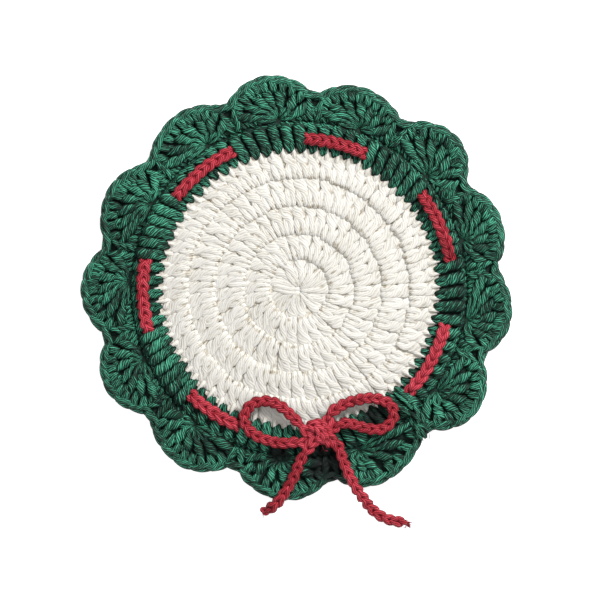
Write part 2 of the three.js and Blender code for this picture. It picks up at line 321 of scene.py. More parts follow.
def cotton_yarn(name, groove, body, back, lay_mm=17.0, relief_mm=0.3, contrast=1.0,
                painted_sink_shade=(0.8, 0.0, 0.75, 1.1), glow=0.0, painted_shadows=()):
    """Mercerised cotton, one turn of the plies in lay_mm. painted_sink_shade says between which rises the
    strand takes painted shade towards its sides, and by how much at least and in its flecks.
    painted_shadows has the places where the shadow of other pieces is painted: x, y, a near and a far
    distance."""
    material, node = new_material(name)
    tint = node("Attribute", output="Fac", attribute_name="tint")
    rise = node("Attribute", output="Fac", attribute_name="rise")
    ply, shade_of_ply, fibre = plies_and_fibres(node, tint, lay_mm)
    spot = node("TexCoord", output="Object")
    patch = node("TexNoise", {"Vector": spot, "Scale": PATCHES_PER_METRE, "Detail": 2.0})
    fleck = node("TexNoise", {"Vector": spot, "Scale": FLECKS_PER_METRE, "Detail": 2.0})
    # Each of these moves the tone by so much about its mean, which is 0.63 for a ply and 0.5 for the
    # others.
    # The ply's part paints shade in its grooves and a highlight on its back; the others are random tone
    tone = node("Math", [ply, 0.6, -0.38], "MULTIPLY_ADD")
    for value, amount in ((fibre, 1.6), (shade_of_ply, 0.2), (tint, 0.2), (patch, 0.4)):
        part = node("Math", [value, amount, -amount / 2], "MULTIPLY_ADD")
        tone = node("Math", [tone, part], "ADD")
    tone = node("Math", [tone, contrast, 0.5], "MULTIPLY_ADD")
    # Painted shade on the sides of the strand, uneven in its flecks
    from_rise, to_rise, least, most = painted_sink_shade
    painted_shade_mask = node("MapRange", {"Value": rise, "From Min": from_rise, "From Max": to_rise})
    flecks = {"Value": fleck, "From Min": 0.48, "From Max": 0.68, "To Min": least, "To Max": most}
    painted_shade_flecks = node("MapRange", flecks)
    painted_side_shade = node("Math", [painted_shade_mask, painted_shade_flecks], "MULTIPLY")
    tone = node("Math", [tone, painted_side_shade], "SUBTRACT")
    # Painted shadow of other pieces: darkest near each place, and none past its far distance
    for x, y, near, far in painted_shadows:
        shaded = [spot, (x / 1000, y / 1000, PAINTED_SHADOW_HEIGHT)]
        away = node("VectorMath", shaded, "DISTANCE", output="Value")
        reach = {"From Min": near / 1000, "From Max": far / 1000, "To Min": DEEPEST_PAINTED_SHADOW, "To Max": 0.0}
        shade = node("MapRange", {"Value": away, **reach})
        tone = node("Math", [tone, shade], "SUBTRACT")
    # Painted shade takes the tone to the dark end, and the painted highlight on the plies' backs to the
    # light end
    colour = node("ValToRGB", [tone], stops=[(0.0, groove), (0.5, body), (1.0, back)])
    height = node("Math", [fibre, 0.8, ply], "MULTIPLY_ADD")
    relief = {"Strength": 1.0, "Distance": relief_mm / 1000, "Height": height}
    finish = {
        "Base Color": colour,
        "Roughness": 0.6,
        "Specular IOR Level": 0.3,
        "Subsurface Weight": glow,
        "Subsurface Radius": (1.0, 0.85, 0.7),
        "Subsurface Scale": 0.003,
        "Normal": node("Bump", relief),
    }
    node("OutputMaterial", {"Surface": node("BsdfPrincipled", finish)})
    return material


print("dark flecks are", round(1000 / FLECKS_PER_METRE, 1), "mm across")

# %% [markdown]
# ## Cream, green and red
# Mercerised cotton has been steeped in lye under tension. That rounds the fibres, so the yarn has a soft
# silky sheen and deep, even colour, with little fuzz. The sheen is partly real gloss and partly a painted
# highlight on the backs of the plies. The three yarns differ in dye, and in how strongly their plies show
# in painted shade and highlight.

# %% The three yarns
# Undyed cotton lets a little light through and shows its plies only faintly, with weak painted shade in
# their grooves and a weak painted highlight on their backs
cream = cotton_yarn(
    "cream_mercerised_cotton", "#9a8a6e", "#dedbd3", "#ece9e3",
    lay_mm=26.0, relief_mm=0.1, contrast=0.42, painted_sink_shade=(0.93, 0.55, -0.05, 0.36), glow=0.1,
)
# Dyed dark: painted shade turns the grooves nearly black, and the backs of the plies shine, partly with
# real gloss and partly with a painted highlight. The bow's shadow is painted on three places
BOW_PAINTED_SHADOW = [(14, -87, 5, 13), (38, -63, 2, 8), (-9, -81, 3, 8)]
green = cotton_yarn("green_mercerised_cotton", "#010a07", "#053124", "#58c39e", painted_shadows=BOW_PAINTED_SHADOW)
# Dyed a full crimson: wine red in the painted shade of the grooves, pink in the painted highlight on the
# backs of the plies, and no black anywhere
red = cotton_yarn(
    "red_mercerised_cotton", "#3a050b", "#a41828", "#de5263", contrast=1.12, painted_sink_shade=(0.68, -0.15, 0.6, 1.0)
)
print("materials:", ", ".join(material.name for material in (cream, green, red)))

# %% [markdown]
# ## A crochet chain
# The lace is a crochet chain: each loop is pulled up through the one before it. Seen from above, it is a
# row of V shapes, because the two legs of each loop lie over the head of the last one. It is one strand of
# yarn all the way. One link is fifteen points of that strand, along, across and up and down in the lace,
# and the links follow any line. `up` says which way the V side faces. At the end, the yarn comes up through
# the last loop and goes down over it, as when a chain is fastened off.

# %% One link, and the end of a chain
# Along in links, across in half widths and up in half heights. The second leg mirrors the first
LEG = [
    (0.05, 0.12, -1.0), (0.20, 0.20, 0.3), (0.38, 0.32, 1.0), (0.70, 0.80, 0.55), (1.00, 1.00, 0.0),
    (1.25, 0.70, -0.45),
]
OTHER_LEG = [(along, -across, above) for along, across, above in LEG[::-1]]
CHAIN_LINK = [*LEG, (1.38, 0.0, -0.6), *OTHER_LEG, (0.35, 0.0, -1.35), (0.75, 0.0, -1.35)]
CHAIN_END = [(0.05, 0.12, -1.0), (0.20, 0.10, 0.3), (0.38, 0.05, 0.95), (0.60, 0.0, 0.7), (0.72, 0.0, -0.3)]
END_LENGTH = 0.6
print("one link is", len(CHAIN_LINK), "points of the strand")


# %% A chain of links along a line
def carried(line, up):
    """A function that turns (along, across, above) into a place beside the line, and the line's length."""
    far = distances_along(line)
    ahead = np.gradient(line, axis=0)
    ahead /= np.linalg.norm(ahead, axis=1)[:, None]
    up = np.broadcast_to(np.array(up, float), line.shape)
    side = np.cross(up, ahead)
    side /= np.linalg.norm(side, axis=1)[:, None]
    top = np.cross(ahead, side)

    def place(along, across, above):
        def at(rows):
            return np.stack([np.interp(along, far, rows[:, k]) for k in range(3)], axis=1)

        past = np.where(along < 0, along, np.maximum(along - far[-1], 0))
        beyond = np.where(past[:, None] < 0, ahead[0], ahead[-1]) * past[:, None]
        return at(line) + at(side) * across[:, None] + at(top) * above[:, None] + beyond

    return place, far[-1]


def crochet_chain(skein, line, link, half_width, half_height, yarn, up=(0, 0, 1), wander=0.14, shade=1.0):
    """Lays a crochet chain along the line. link is about how long a link is, and wander how uneven."""
    place, length = carried(line, up)
    count = max(2, round(length / link - END_LENGTH))
    pitch = length / (count + END_LENGTH)
    links = [np.array(CHAIN_LINK) + (k, 0, 0) for k in range(count)]
    rows = np.vstack([*links, np.array(CHAIN_END) + (count, 0, 0)])
    rows = rows + dice.normal(0, wander, rows.shape) * (0.25, 0.5, 0.5)
    points = place(rows[:, 0] * pitch, rows[:, 1] * half_width, rows[:, 2] * half_height)
    skein.lay(curve_through(points, 1.05), yarn, shade=shade)


print("a chain ends with", len(CHAIN_END), "points more")

# %% [markdown]
# ## Loose fibres
# Where cotton is knotted or cut, single fibres stand off it. A particle system could grow them, but it
# would cover whole pieces evenly. Here a few dozen thin strands go in the places that need them. A real
# fibre is far thinner than a pixel, so these are drawn thick enough to show.

# %% Loose fibres
FIBRE_RADII = [0.16, 0.15, 0.14, 0.12, 0.1, 0.06]
LOWEST_FIBRE = 0.4


def loose_fibres(skein, middle, spread, count, length=2.6):
    """Short single fibres that stand off the yarn where it is knotted or cut."""
    for _ in range(count):
        at = np.array(middle) + dice.normal(0, 1, 3) * spread
        way = dice.normal(0, 1, 3) * (1, 1, 0.6)
        way /= np.linalg.norm(way)
        bend = dice.normal(0, 0.5, 3)
        t = np.linspace(0, 1, len(FIBRE_RADII))[:, None]
        line = at + t * way * length * dice.uniform(0.5, 1.2) + t**2 * bend
        line[:, 2] = np.maximum(line[:, 2], LOWEST_FIBRE)
        skein.lay(line, FIBRE_RADII, sides=4, shade=0.0)


print("a loose fibre is drawn", 2 * FIBRE_RADII[0], "mm thick at its root")

# %% [markdown]
# ## The cords: two loops and two ends of the lace
# A cord is settled before it is drawn: where it leaves the knot, how thick it is, its length and how it
# ends. The photograph shows all of it, so there is nothing to guess but the height. The lace is about 6 mm
# wide where it is free. It lies on the border and over its edge, and both ends come down to the table. The
# routes are those of the CAD model.

# %% The four routes
# In metres
BOW_LOOP_LEFT = [
    (0.0014, -0.0684, 0.0092), (-0.0042, -0.0624, 0.0089), (-0.0094, -0.0582, 0.0084),
    (-0.0146, -0.0560, 0.0080), (-0.0204, -0.0561, 0.0078), (-0.0252, -0.0590, 0.0078),
    (-0.0273, -0.0640, 0.0079), (-0.0256, -0.0694, 0.0079), (-0.0206, -0.0734, 0.0078),
    (-0.0136, -0.0759, 0.0078), (-0.0066, -0.0768, 0.0081), (0.0004, -0.0760, 0.0086),
]
BOW_LOOP_RIGHT = [
    (0.0144, -0.0626, 0.0092), (0.0194, -0.0590, 0.0090), (0.0262, -0.0560, 0.0084),
    (0.0346, -0.0544, 0.0080), (0.0426, -0.0556, 0.0078), (0.0469, -0.0600, 0.0077),
    (0.0466, -0.0656, 0.0077), (0.0412, -0.0698, 0.0077), (0.0334, -0.0692, 0.0078),
    (0.0254, -0.0670, 0.0082), (0.0196, -0.0670, 0.0086),
]
LACE_TAIL_LEFT = [
    (0.0032, -0.0810, 0.0076), (0.0004, -0.0864, 0.0074), (-0.0018, -0.0920, 0.0074),
    (-0.0046, -0.0974, 0.0074), (-0.0080, -0.1028, 0.0073), (-0.0118, -0.1076, 0.0062),
    (-0.0162, -0.1106, 0.0034),
]
LACE_TAIL_RIGHT = [
    (0.0178, -0.0750, 0.0080), (0.0202, -0.0794, 0.0077), (0.0220, -0.0850, 0.0075),
    (0.0246, -0.0916, 0.0074), (0.0282, -0.0984, 0.0073), (0.0324, -0.1048, 0.0052),
    (0.0374, -0.1108, 0.0026), (0.0440, -0.1149, 0.0020), (0.0530, -0.1168, 0.0020),
]
print("points in the loops:", len(BOW_LOOP_LEFT), len(BOW_LOOP_RIGHT))

# %% The left end's knot, and the right end's fray
KNOT_YARN = 0.85
FRAYED_PLIES = 9
LOWEST_PLY = 0.6


def overhand_knot(skein, at, size=0.72):
    """The small hard knot at the left end: a trefoil, pulled tight."""
    t = np.linspace(0, 2 * math.pi, 60)
    x, y, z = np.sin(t) + 2 * np.sin(2 * t), np.cos(t) - 2 * np.cos(2 * t), -np.sin(3 * t)
    skein.lay(np.column_stack([x * size * 1.1, y * size * 0.8, z * size * 0.7]) + at, KNOT_YARN)


def frayed_end(skein, at, way, length=4.2):
    """The plies of the right end, apart from each other."""
    way = way / np.linalg.norm(way)
    side = np.array([-way[1], way[0], 0])
    for _ in range(FRAYED_PLIES):
        spread, rise = dice.normal(0, 0.38), dice.uniform(-0.1, 0.25)
        t = np.linspace(0, 1, 7)[:, None]
        bend = dice.normal(0, 0.5)
        outwards = way + side * spread + (0, 0, rise)
        line = at + t * length * dice.uniform(0.6, 1.1) * outwards + t**2 * bend * side
        line[:, 2] = np.maximum(line[:, 2], LOWEST_PLY)
        skein.lay(line, np.interp(t[:, 0], [0, 0.6, 1], [0.5, 0.36, 0.12]), sides=6)


print("the frayed end has", FRAYED_PLIES, "plies")

# %% The four cords
CORD_WIDTH = 6.2
CORD_LINK = 4.7
CORD_YARN = 1.4
CHAIN_HALF_HEIGHT = 0.75
# The middle of a drawn chain lies no lower, so that its strands don't sink into the table
LOWEST_CORD = 2.75


def lace_cord(name, route, far_end):
    """A free stretch of the lace, laid as a crochet chain along its route, with the given end."""
    line = curve_through(np.array(route) * 1000, 0.5)
    drawn = np.column_stack([line[:, :2], np.maximum(line[:, 2], LOWEST_CORD)])
    skein = Skein()
    crochet_chain(skein, drawn, CORD_LINK, CORD_WIDTH / 2 - CORD_YARN, CHAIN_HALF_HEIGHT, CORD_YARN)
    if far_end == "knot":
        overhand_knot(skein, drawn[-1] + (-0.4, -0.2, 0))
        loose_fibres(skein, drawn[-1] + (-1.0, -0.5, 0), (1.0, 1.0, 0.6), 10, 1.8)
    if far_end == "bare":
        frayed_end(skein, drawn[-1] - (0.6, 0, 0.4), drawn[-1] - drawn[-8])
        loose_fibres(skein, drawn[-1] + (1.2, -0.2, -0.6), (1.2, 0.8, 0.4), 12, 2.2)
    made = skein.piece(name, red, name.replace("_chain", ""))


lace_cord("bow_loop_left_chain", BOW_LOOP_LEFT, "object")
lace_cord("bow_loop_right_chain", BOW_LOOP_RIGHT, "object")
lace_cord("lace_tail_left_chain", LACE_TAIL_LEFT, "knot")
lace_cord("lace_tail_right_chain", LACE_TAIL_RIGHT, "bare")

# %% [markdown]
# ## Floor and light
# A near-white floor, one large soft light beyond the upper right of the picture, and a bright even sky. The
# photograph's light comes from there: the steps from each cream round down to the one inside it are dark at
# the top and right, and bright at the lower left. It also casts the shadow under the bow, which painted
# shadow in the green yarn makes deeper.

# %% The white paper floor
# Paper with a matt, bleached surface. A little light of its own keeps it white right up to the stitches
bpy.ops.mesh.primitive_plane_add(size=6.0, location=(0, 0, 0))
floor = bpy.context.object
floor.name = "floor"
paper, node = new_material("white_paper_floor")
paper_finish = {
    "Base Color": linear("#fbfbfa"),
    "Roughness": 0.9,
    "Emission Color": linear("#ffffff"),
    "Emission Strength": 0.72,
}
node("OutputMaterial", {"Surface": node("BsdfPrincipled", paper_finish)})
floor.data.materials.append(paper)
print("floor, m:", tuple(floor.dimensions))

# %% The light and the sky
# In metres
WINDOW_PLACE = (0.78, 0.9, 0.95)
WINDOW_WIDTH = 0.6
WINDOW_WATTS = 27.0
SKY_STRENGTH = 0.62
window_data = bpy.data.lights.new("window", "AREA")
window_data.shape = "DISK"
window_data.size = WINDOW_WIDTH
window_data.energy = WINDOW_WATTS
window = in_scene("window", window_data)
window.location = WINDOW_PLACE
window.rotation_euler = (-window.location).to_track_quat("-Z", "Y").to_euler()
sky = bpy.data.worlds.new("white_room")
sky.use_nodes = True
sky.node_tree.nodes["Background"].inputs["Color"].default_value = linear("#ffffff")
sky.node_tree.nodes["Background"].inputs["Strength"].default_value = SKY_STRENGTH
bpy.context.scene.world = sky
bpy.context.scene.view_settings.view_transform = "Standard"
bpy.context.scene.view_settings.look = "None"
print("window light, m:", WINDOW_PLACE, "and a sky of", SKY_STRENGTH)

# %% [markdown]
# ## A double crochet
# Every stitch but the edging's is a double crochet, a tall stitch. Two strands stand at its foot like legs,
# and higher up more yarn is wound round them, so that two or three slanting leaf shapes lie one above the
# other. Here two strands go all the way from the foot to the head, and one or two more begin above the
# legs. The gap between them, their height and their turn change on the way. A stitch could be modelled once
# and copied, but the eye would find that at once. So each is drawn on its own, with small differences.


# %% The double crochet
def polar(radius, degrees):
    a = np.radians(degrees)
    return np.stack([radius * np.cos(a), radius * np.sin(a)], axis=-1)


def across_step(step):
    """The direction at right angles to a step, seen from above."""
    return np.array([-step[1], step[0]]) / np.linalg.norm(step)


def beside(foot, head, t, aside, height):
    """A line from foot to head: shares of the way, how far to its left, and the heights."""
    step = head - foot
    return np.column_stack([foot + t[:, None] * step + aside[:, None] * across_step(step), height])


def double_crochet(skein, foot, head, widths, turns, lift, depth=0.9, rings=20, start=-0.04,
                   foot_gap=0.5, foot_yarn=0.8, bow=0.0, strand=0.245, gap=0.235, strands=3, flat=1.0,
                   uneven=0.15, tucked=0.0):
    """Strands from foot to head, by default as in a shell. widths are the stitch's width at its foot, legs
    and head, and lift has the heights from under the foot to over the head. strand and gap are shares of
    the width. tucked is painted shade on the foot, which goes in under the stitches of the round before."""
    t = np.linspace(start, 1.0, rings)
    # The legs end 0.3 of the way up, and the turn of the strands begins there, partly smooth, partly even
    turning = eased(t, [0.3, 1.02], [0, 1]) * 0.35 + np.clip((t - 0.3) / 0.72, 0, 1) * 0.65
    shift = dice.normal(0, 0.35)
    height = eased(t, [start, 0.04, 0.22, 0.8, 1.0], lift) + dice.normal(0, uneven)
    wide = eased(t, [start, 0.2, 1.0], widths) * dice.normal(1, 0.04)
    apart = eased(t, [start, 0.08, 0.24, 0.4, 0.9, 1.0], [foot_gap, 0.85, 1.05, 1.0, 0.95, 0.75])
    half = wide * gap * apart
    thick = wide * strand * eased(t, [start, 0.08, 0.22, 0.88, 1.0], [foot_yarn, 0.9, 1.0, 1.0, 0.8])
    # Painted shade on the foot, fading within a tenth of the way up
    low = tucked * np.exp(-((np.clip(t, 0, 1) / 0.1) ** 2))
    tint = dice.random()
    # Where round the middle line each strand starts, and on which ring: the two legs, then what is wound on
    starts = ((-math.pi / 2, 0), (math.pi / 2, 0), (math.pi, rings // 4), (0, rings // 4))
    for phase_start, first in starts[:strands]:
        phase = phase_start + (2 * math.pi * turns + shift) * turning
        phase = phase + dice.normal(0, 0.2) * np.clip(t * 2, 0, 1)
        aside = half * np.sin(phase) + bow * np.sin(math.pi * np.clip(t, 0, 1))
        line = beside(foot, head, t, aside, height + depth * np.cos(phase))
        size = thick * dice.normal(1, 0.04)
        if first:
            size = size * np.clip((np.arange(rings) - first + 1) / 3.5, 0.2, 1)
        shade_of_strand = np.clip(tint + dice.normal(0, 0.2), 0, 1)
        skein.lay(line[first:], size[first:], tint=shade_of_strand, flat=flat, low=low[first:])


print("30 degrees at 80 mm is the place", polar(80, 30).round(1))

# %% [markdown]
# ## The cream centre
# Five rounds of 13, 26, 39, 52 and 65 stitches. Each round has 13 more than the last, so the mat lies flat.
# On the real mat, 13 stitches of each round carry two of the next. Here all stitches of a round are spaced
# alike, give or take a little. A stitch's foot goes under the top of the round inside it, and its head
# leans a little to one side. The cream rounds are worked tight and lie flat, so their strands are pressed
# to less than a quarter of their height and overlap each other, and only the tucked feet and a few flecks
# carry painted shade.

# %% The rounds of the cream centre
# The inner and the outer radius of each round
ROUNDS = [(2.4, 15.6), (15.6, 28.8), (28.8, 42.8), (42.8, 56.8), (56.8, 68.0)]
STITCHES_MORE = 13
LEAN = 0.25
NARROWEST_FOOT = 5.0
# The wedge-shaped stitches of the first round have room for half the turn
FIRST_TURNS, TURNS = 0.3, 0.62
# Each round starts this share of a stitch further round
ROUND_SHIFT = 0.37
rounds_skein = Skein()
start_angle = 0.0
for number, (inner, outer) in enumerate(ROUNDS):
    count = STITCHES_MORE * (number + 1)
    pitch = 360 / count
    feet = start_angle + (np.arange(count) + dice.normal(0, 0.08, count)) * pitch
    heads = start_angle + (np.arange(count) + LEAN + dice.normal(0, 0.09, count)) * pitch
    start_angle += ROUND_SHIFT * pitch
    foot_radius = max(inner, NARROWEST_FOOT)
    for foot_angle, head_angle in zip(feet, heads):
        low = inner - 0.6 + dice.normal(0, 0.4)
        high = outer + dice.normal(0, 0.3)
        double_crochet(
            rounds_skein,
            polar(low, foot_angle),
            polar(high, head_angle),
            widths=[math.radians(pitch) * r for r in (foot_radius, foot_radius + 3, outer)],
            turns=(FIRST_TURNS if number == 0 else TURNS) + dice.normal(0, 0.14),
            lift=(2.3, 3.95, 4.05, 3.1, 2.5),
            depth=0.18, rings=15, start=-0.05, foot_gap=0.9, foot_yarn=0.75,
            strand=0.325, gap=0.285, flat=0.22, uneven=0.12, tucked=0.8,
        )
    print("cream round", number + 1, "has", count, "stitches")

# %% The start of the first round
# A short chain stands for its first stitch: two strands that run out from the middle, to the left
START_CHAIN = [(1.5, -0.6, 2.6), (-1.5, -0.9, 3.6), (-6.0, -0.6, 3.9), (-10.0, 0.4, 3.5), (-13.0, 0.8, 2.6)]
for side in (-1.0, 0.9):
    rounds_skein.lay(curve_through(np.array(START_CHAIN) + (0, side, 0), 1.0), 1.3, flat=0.45)
print("start chain, mm:", round(distances_along(np.array(START_CHAIN))[-1], 1))

# %% [markdown]
# ## Where green joins cream
# The last cream stitches end in a pointed tip between each two green legs. A tip is a single strand that
# gets thin as it is squeezed. The green stitches stand where the lace's ends need them, so that a post
# always lies over each end of the red chain.

# %% Where the lace shows, and the places of the green stitches
BORDER_STITCHES = 78
GREEN_PITCH = 360 / BORDER_STITCHES
# Each stretch on top of the posts: the angles of its two ends in degrees, and the lace's radius at each
OVER_STITCHES = [
    (317.1, 345.9, 75.2, 75.2), (371.3, 397.7, 77.0, 77.4), (424.2, 447.3, 75.2, 75.2),
    (475.4, 503.1, 76.4, 76.6), (529.0, 555.5, 78.0, 78.0), (584.2, 606.5, 75.4, 74.6),
]
lace_ends = np.sort(np.array([angle % 360 for start, end, _, _ in OVER_STITCHES for angle in (start, end)]))
borders = np.round(lace_ends / GREEN_PITCH) * GREEN_PITCH
even = (np.arange(BORDER_STITCHES) + 0.5) * GREEN_PITCH
green_angles = even + np.interp(even, borders, lace_ends - borders, period=360)
print("green stitches move for the lace by", round(np.abs(green_angles - even).max(), 1), "degrees at most")

# %% The cream tips
TIP_RADII = np.array([64.8, 66.9, 68.8, 70.6, 72.2])
TIP_BEND = np.array([-0.3, 0.0, 0.1, 0.2, 0.3])
TIP_HEIGHTS = [2.2, 3.1, 3.6, 3.8, 3.6]
TIP_SHARES, TIP_YARN = [0, 0.3, 0.55, 0.85, 1], [1.2, 1.45, 1.0, 0.65, 0.25]
between = (green_angles + np.append(green_angles[1:], green_angles[0] + 360)) / 2
for angle in between:
    radii = TIP_RADII + dice.normal(0, 0.35)
    line = curve_through(np.column_stack([polar(radii, angle + TIP_BEND), TIP_HEIGHTS]), 1.1)
    size = np.interp(np.linspace(0, 1, len(line)), TIP_SHARES, TIP_YARN)
    rounds_skein.lay(line, size, flat=0.8)
rounds_piece = rounds_skein.piece("cream_rounds", cream, "centre_disc")

# %% [markdown]
# ## The plain green round
# 78 stitches round the cream centre. Their legs reach in over the cream edge as pointed teeth. The posts
# rise a little where the lace runs under them, and are pressed down where it lies on them. Along their
# heads runs one strand that weaves in and out, from stitch to stitch.

# %% The green posts
SHELL_BASE = 84.0
LEGS_RADIUS = 69.0
PRESSED = -0.5
# Under the lace a post is pressed down. Elsewhere it is raised, and near the lace by up to 1.6 mm more
RAISED_FAR, RAISED_NEAR, NEAR_DEGREES = 0.5, 1.6, 3.6


def past_lace(degrees):
    """How far this angle is outside the nearest stretch with the lace on top, and less than 0 inside."""
    past = []
    for start, end, _, _ in OVER_STITCHES:
        from_middle = abs((degrees - (start + end) / 2 + 180) % 360 - 180)
        past.append(from_middle - (end - start) / 2)
    return min(past)


posts_skein = Skein()
for angle in green_angles:
    past = past_lace(angle)
    up = PRESSED if past < 0 else RAISED_FAR + RAISED_NEAR * math.exp(-((past / NEAR_DEGREES) ** 2))
    double_crochet(
        posts_skein,
        polar(LEGS_RADIUS + dice.normal(0, 0.4), angle - 0.22 * GREEN_PITCH),
        polar(SHELL_BASE - 0.6, angle + 0.15 * GREEN_PITCH),
        widths=(4.8, 6.0, 7.4),
        turns=0.85,
        lift=(1.6, 3.5, 3.2 + up * 0.7, 3.3 + up, 1.9),
        start=-0.06, foot_gap=0.85, foot_yarn=0.85, strand=0.255, gap=0.215, strands=4,
    )
degrees = np.arange(0, 360 + 1e-6, GREEN_PITCH / 4)
wave = np.radians(degrees) * BORDER_STITCHES
woven = np.column_stack([polar(82.2 + 0.9 * np.sin(wave), degrees), 2.5 + 0.6 * np.cos(wave)])
posts_skein.lay(woven + dice.normal(0, 0.15, woven.shape), 1.4)
posts_piece = posts_skein.piece("green_posts", green, "shell_border")

# %% [markdown]
# ## The shells
# A shell is seven double crochets worked into one stitch, so they fan out from one point. Thirteen shells
# go round, no two quite alike: each has its own crest, reach and notch, measured on the photograph.

# %% The outline of the shells
# Each shell: its crest in degrees and its reach, then the same for the notch after it
SHELLS = [
    (19, 107.8, 32, 98.8), (44, 110.5, 58, 98.8), (72, 106.5, 85, 98.0), (99.5, 108.5, 112, 99.0),
    (125, 107.2, 140, 98.8), (152.5, 108.2, 167.5, 99.8), (180, 109.5, 194, 99.5), (207, 109.2, 220, 98.4),
    (235, 107.0, 249.5, 94.4), (266, 106.3, 280, 96.0), (293, 106.0, 312, 95.0), (326, 108.8, 340, 98.0),
    (352, 107.8, 366, 100.2),
]


def shell_sides(k):
    """A shell's crest, reach, and the angle and reach of the notches before and after it."""
    crest, reach, notch, notch_reach = SHELLS[k]
    before = SHELLS[k - 1][2] - (360 if k == 0 else 0), SHELLS[k - 1][3]
    return crest, reach, before, (notch, notch_reach)


def outline(k, share):
    """The angle and reach of shell k's edge, from -1 at the notch before it to 1 at the one after it."""
    crest, reach, before, after = shell_sides(k)
    notch, notch_reach = before if share < 0 else after
    return crest + (notch - crest) * abs(share), reach + (notch_reach - reach) * abs(share) ** 2


reaches = [reach for _, reach, _, _ in SHELLS]
print(len(SHELLS), "shells reach", min(reaches), "to", max(reaches), "mm from the middle")

# %% The fans
EDGING = 8.0
# The outer stitches of a fan come first, and the middle one last
FAN_MEMBERS = (0, 6, 1, 5, 2, 4, 3)
MIDDLE_MEMBER = 3
FAN_SHARE = 0.9
# The fans grow out of a place so many degrees before their crest
FAN_SHIFT = 2.4
FLANK_SHARES = (0.42, 0.6, 0.78, 0.93)
fans_skein = Skein()
for k in range(len(SHELLS)):
    crest, _, before, after = shell_sides(k)
    middle = polar(SHELL_BASE + 1.4, crest - FAN_SHIFT)
    for member in FAN_MEMBERS:
        angle, edge = outline(k, (member - MIDDLE_MEMBER) / 3 * FAN_SHARE)
        head = polar(edge - EDGING + 0.6 + dice.normal(0, 0.3), angle + dice.normal(0, 0.3))
        way = (head - middle) / np.linalg.norm(head - middle)
        double_crochet(
            fans_skein,
            middle + way * 1.3,
            head,
            widths=(2.6, 4.8, 7.2),
            turns=1.15,
            lift=(1.6, 3.0, 3.7, 3.7, 2.4),
            bow=(member - MIDDLE_MEMBER) * 0.35,
        )
    # Short stitches fill the flanks, between the fan and the plain round
    for notch, notch_reach in (before, after):
        for share in FLANK_SHARES:
            angle = crest - FAN_SHIFT * (1 - share) + (notch - crest) * share
            double_crochet(
                fans_skein,
                polar(SHELL_BASE + 0.9, angle - 1.0),
                polar(SHELL_BASE + 1.5 + (notch_reach - 7.5 - SHELL_BASE) * share, angle + 0.6),
                widths=(4.4, 4.8, 5.0),
                turns=0.5 + dice.normal(0, 0.1),
                lift=(2.0, 2.9, 3.2, 3.1, 2.4),
                depth=0.6, rings=9, start=-0.1, foot_gap=0.6, strand=0.25,
            )
fans_piece = fans_skein.piece("green_shells", green, "shell_border")

# %% [markdown]
# ## The edging
# Single crochet all round: a short stitch of two legs that open like a V, and on top of it a chain that
# lies along the outline. In each notch, the edging dips down to the plain round in a column of small loops.

# %% The single crochets and the rim
EDGE_YARN = 1.35
EDGE_SPREAD = 1.15
EDGE_STITCHES = 9
EDGE_SHARE = 0.97
RIM_SHARE = 0.93
RIM_INSET = 2.7
RIM_HEIGHT = 3.4
RIM_LINK = 9.0
edging_skein = Skein()


def edge_point(k, share, inset):
    """A point so far inside the edge of shell k, at right angles to it."""
    (a0, r0), (a1, r1) = outline(k, max(-1, share - 0.02)), outline(k, min(1, share + 0.02))
    angle, radius = outline(k, share)
    return polar(radius, angle) + across_step(polar(r1, a1) - polar(r0, a0)) * inset


def single_crochet(skein, foot, head):
    """Two legs that open towards the rim."""
    t = np.linspace(0, 1, 8)
    for side in (-1, 1):
        aside = side * EDGE_SPREAD * eased(t, [0, 1], [0.45, 1.0]) + 0.7 * t + dice.normal(0, 0.1)
        height = eased(t, [0, 0.35, 0.8, 1.0], [2.4, 4.4, 4.4, 3.2]) + dice.normal(0, 0.15)
        line = beside(foot, head, t, aside, height)
        skein.lay(line, EDGE_YARN * eased(t, [0, 0.3, 0.8, 1.0], [0.6, 1.0, 1.0, 0.7]))


rim = []
for k in range(len(SHELLS)):
    for share in (np.arange(EDGE_STITCHES) + 0.5) / EDGE_STITCHES * 2 * EDGE_SHARE - EDGE_SHARE:
        single_crochet(edging_skein, edge_point(k, share, EDGING + 1.6), edge_point(k, share + 0.02, 2.8))
    rim += [edge_point(k, share, RIM_INSET) for share in np.linspace(-RIM_SHARE, RIM_SHARE, 21)]
rim = np.column_stack([np.array(rim), np.full(len(rim), RIM_HEIGHT)])
rim = curve_through(np.vstack([rim, rim[:1]]), 0.8)
outwards = rim * (1, 1, 0)
outwards /= np.linalg.norm(outwards, axis=1)[:, None]
# The rim chain's sides get less painted shade than a free chain's
crochet_chain(edging_skein, rim, RIM_LINK, 1.5, 0.9, 1.4, up=outwards * 0.7 + (0, 0, 0.75), shade=0.65)
print("the rim is", round(distances_along(rim)[-1]), "mm long")

# %% The notch columns
NOTCH_ROWS = 3
NOTCH_YARN = 1.45
LOOP_LENGTH = 5.2
t = np.linspace(0, 1, 9)
for k in range(len(SHELLS)):
    _, _, _, (notch, notch_reach) = shell_sides(k)
    for row in range(NOTCH_ROWS):
        low = SHELL_BASE + 0.6 + row * (notch_reach - 5 - SHELL_BASE) / NOTCH_ROWS
        for side in (-1, 1):
            aside = side * (0.7 + 2.5 * np.sin(t * math.pi * 0.6))
            # The loops are about 90 mm from the middle
            loop = polar(low + LOOP_LENGTH * t, notch + np.degrees(aside / 90))
            line = np.column_stack([loop, 3.2 + 1.2 * np.sin(t * math.pi)])
            edging_skein.lay(line, NOTCH_YARN * eased(t, [0, 0.3, 0.8, 1.0], [0.7, 1.0, 1.0, 0.7]))

edging_strands = len(edging_skein.points)
print("edging:", edging_strands, "strands on", len(SHELLS), "shells")
